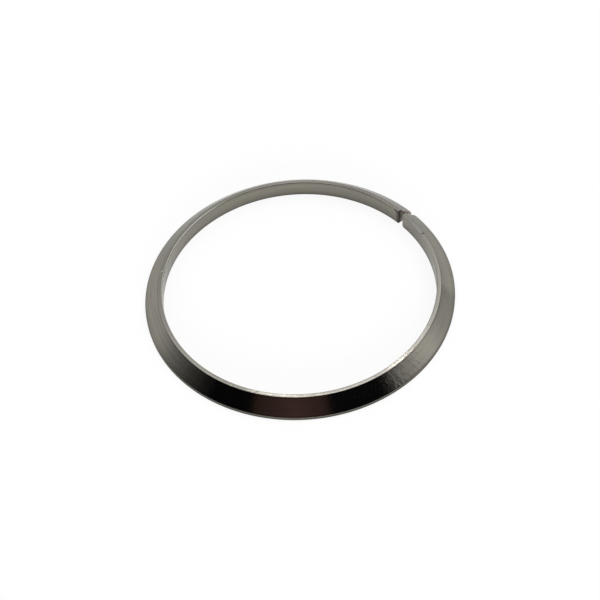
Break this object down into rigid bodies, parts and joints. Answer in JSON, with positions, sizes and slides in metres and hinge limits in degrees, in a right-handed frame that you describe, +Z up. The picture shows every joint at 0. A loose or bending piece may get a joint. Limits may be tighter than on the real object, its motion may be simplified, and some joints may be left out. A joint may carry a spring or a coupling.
{
  "type": "split bearing washer",
  "caption": "Thin split steel ring with a flat top land, a 45 degree bearing cone down its outside and a narrow slit that lets it spring onto its seat.",
  "frame": {"origin": "on the ring's axis, in the plane of its flat underside", "axes": "+Z up the axis towards the small end of the cone, +X through the middle of the slit"},
  "size_m": [0.045, 0.045, 0.0026],
  "materials": {
    "plated_steel": "turned steel with a thin bright nickel plating, satin along the cone"
  },
  "bodies": {
    "root": {"bearing_washer": "plated_steel"}
  },
  "joints": []
}
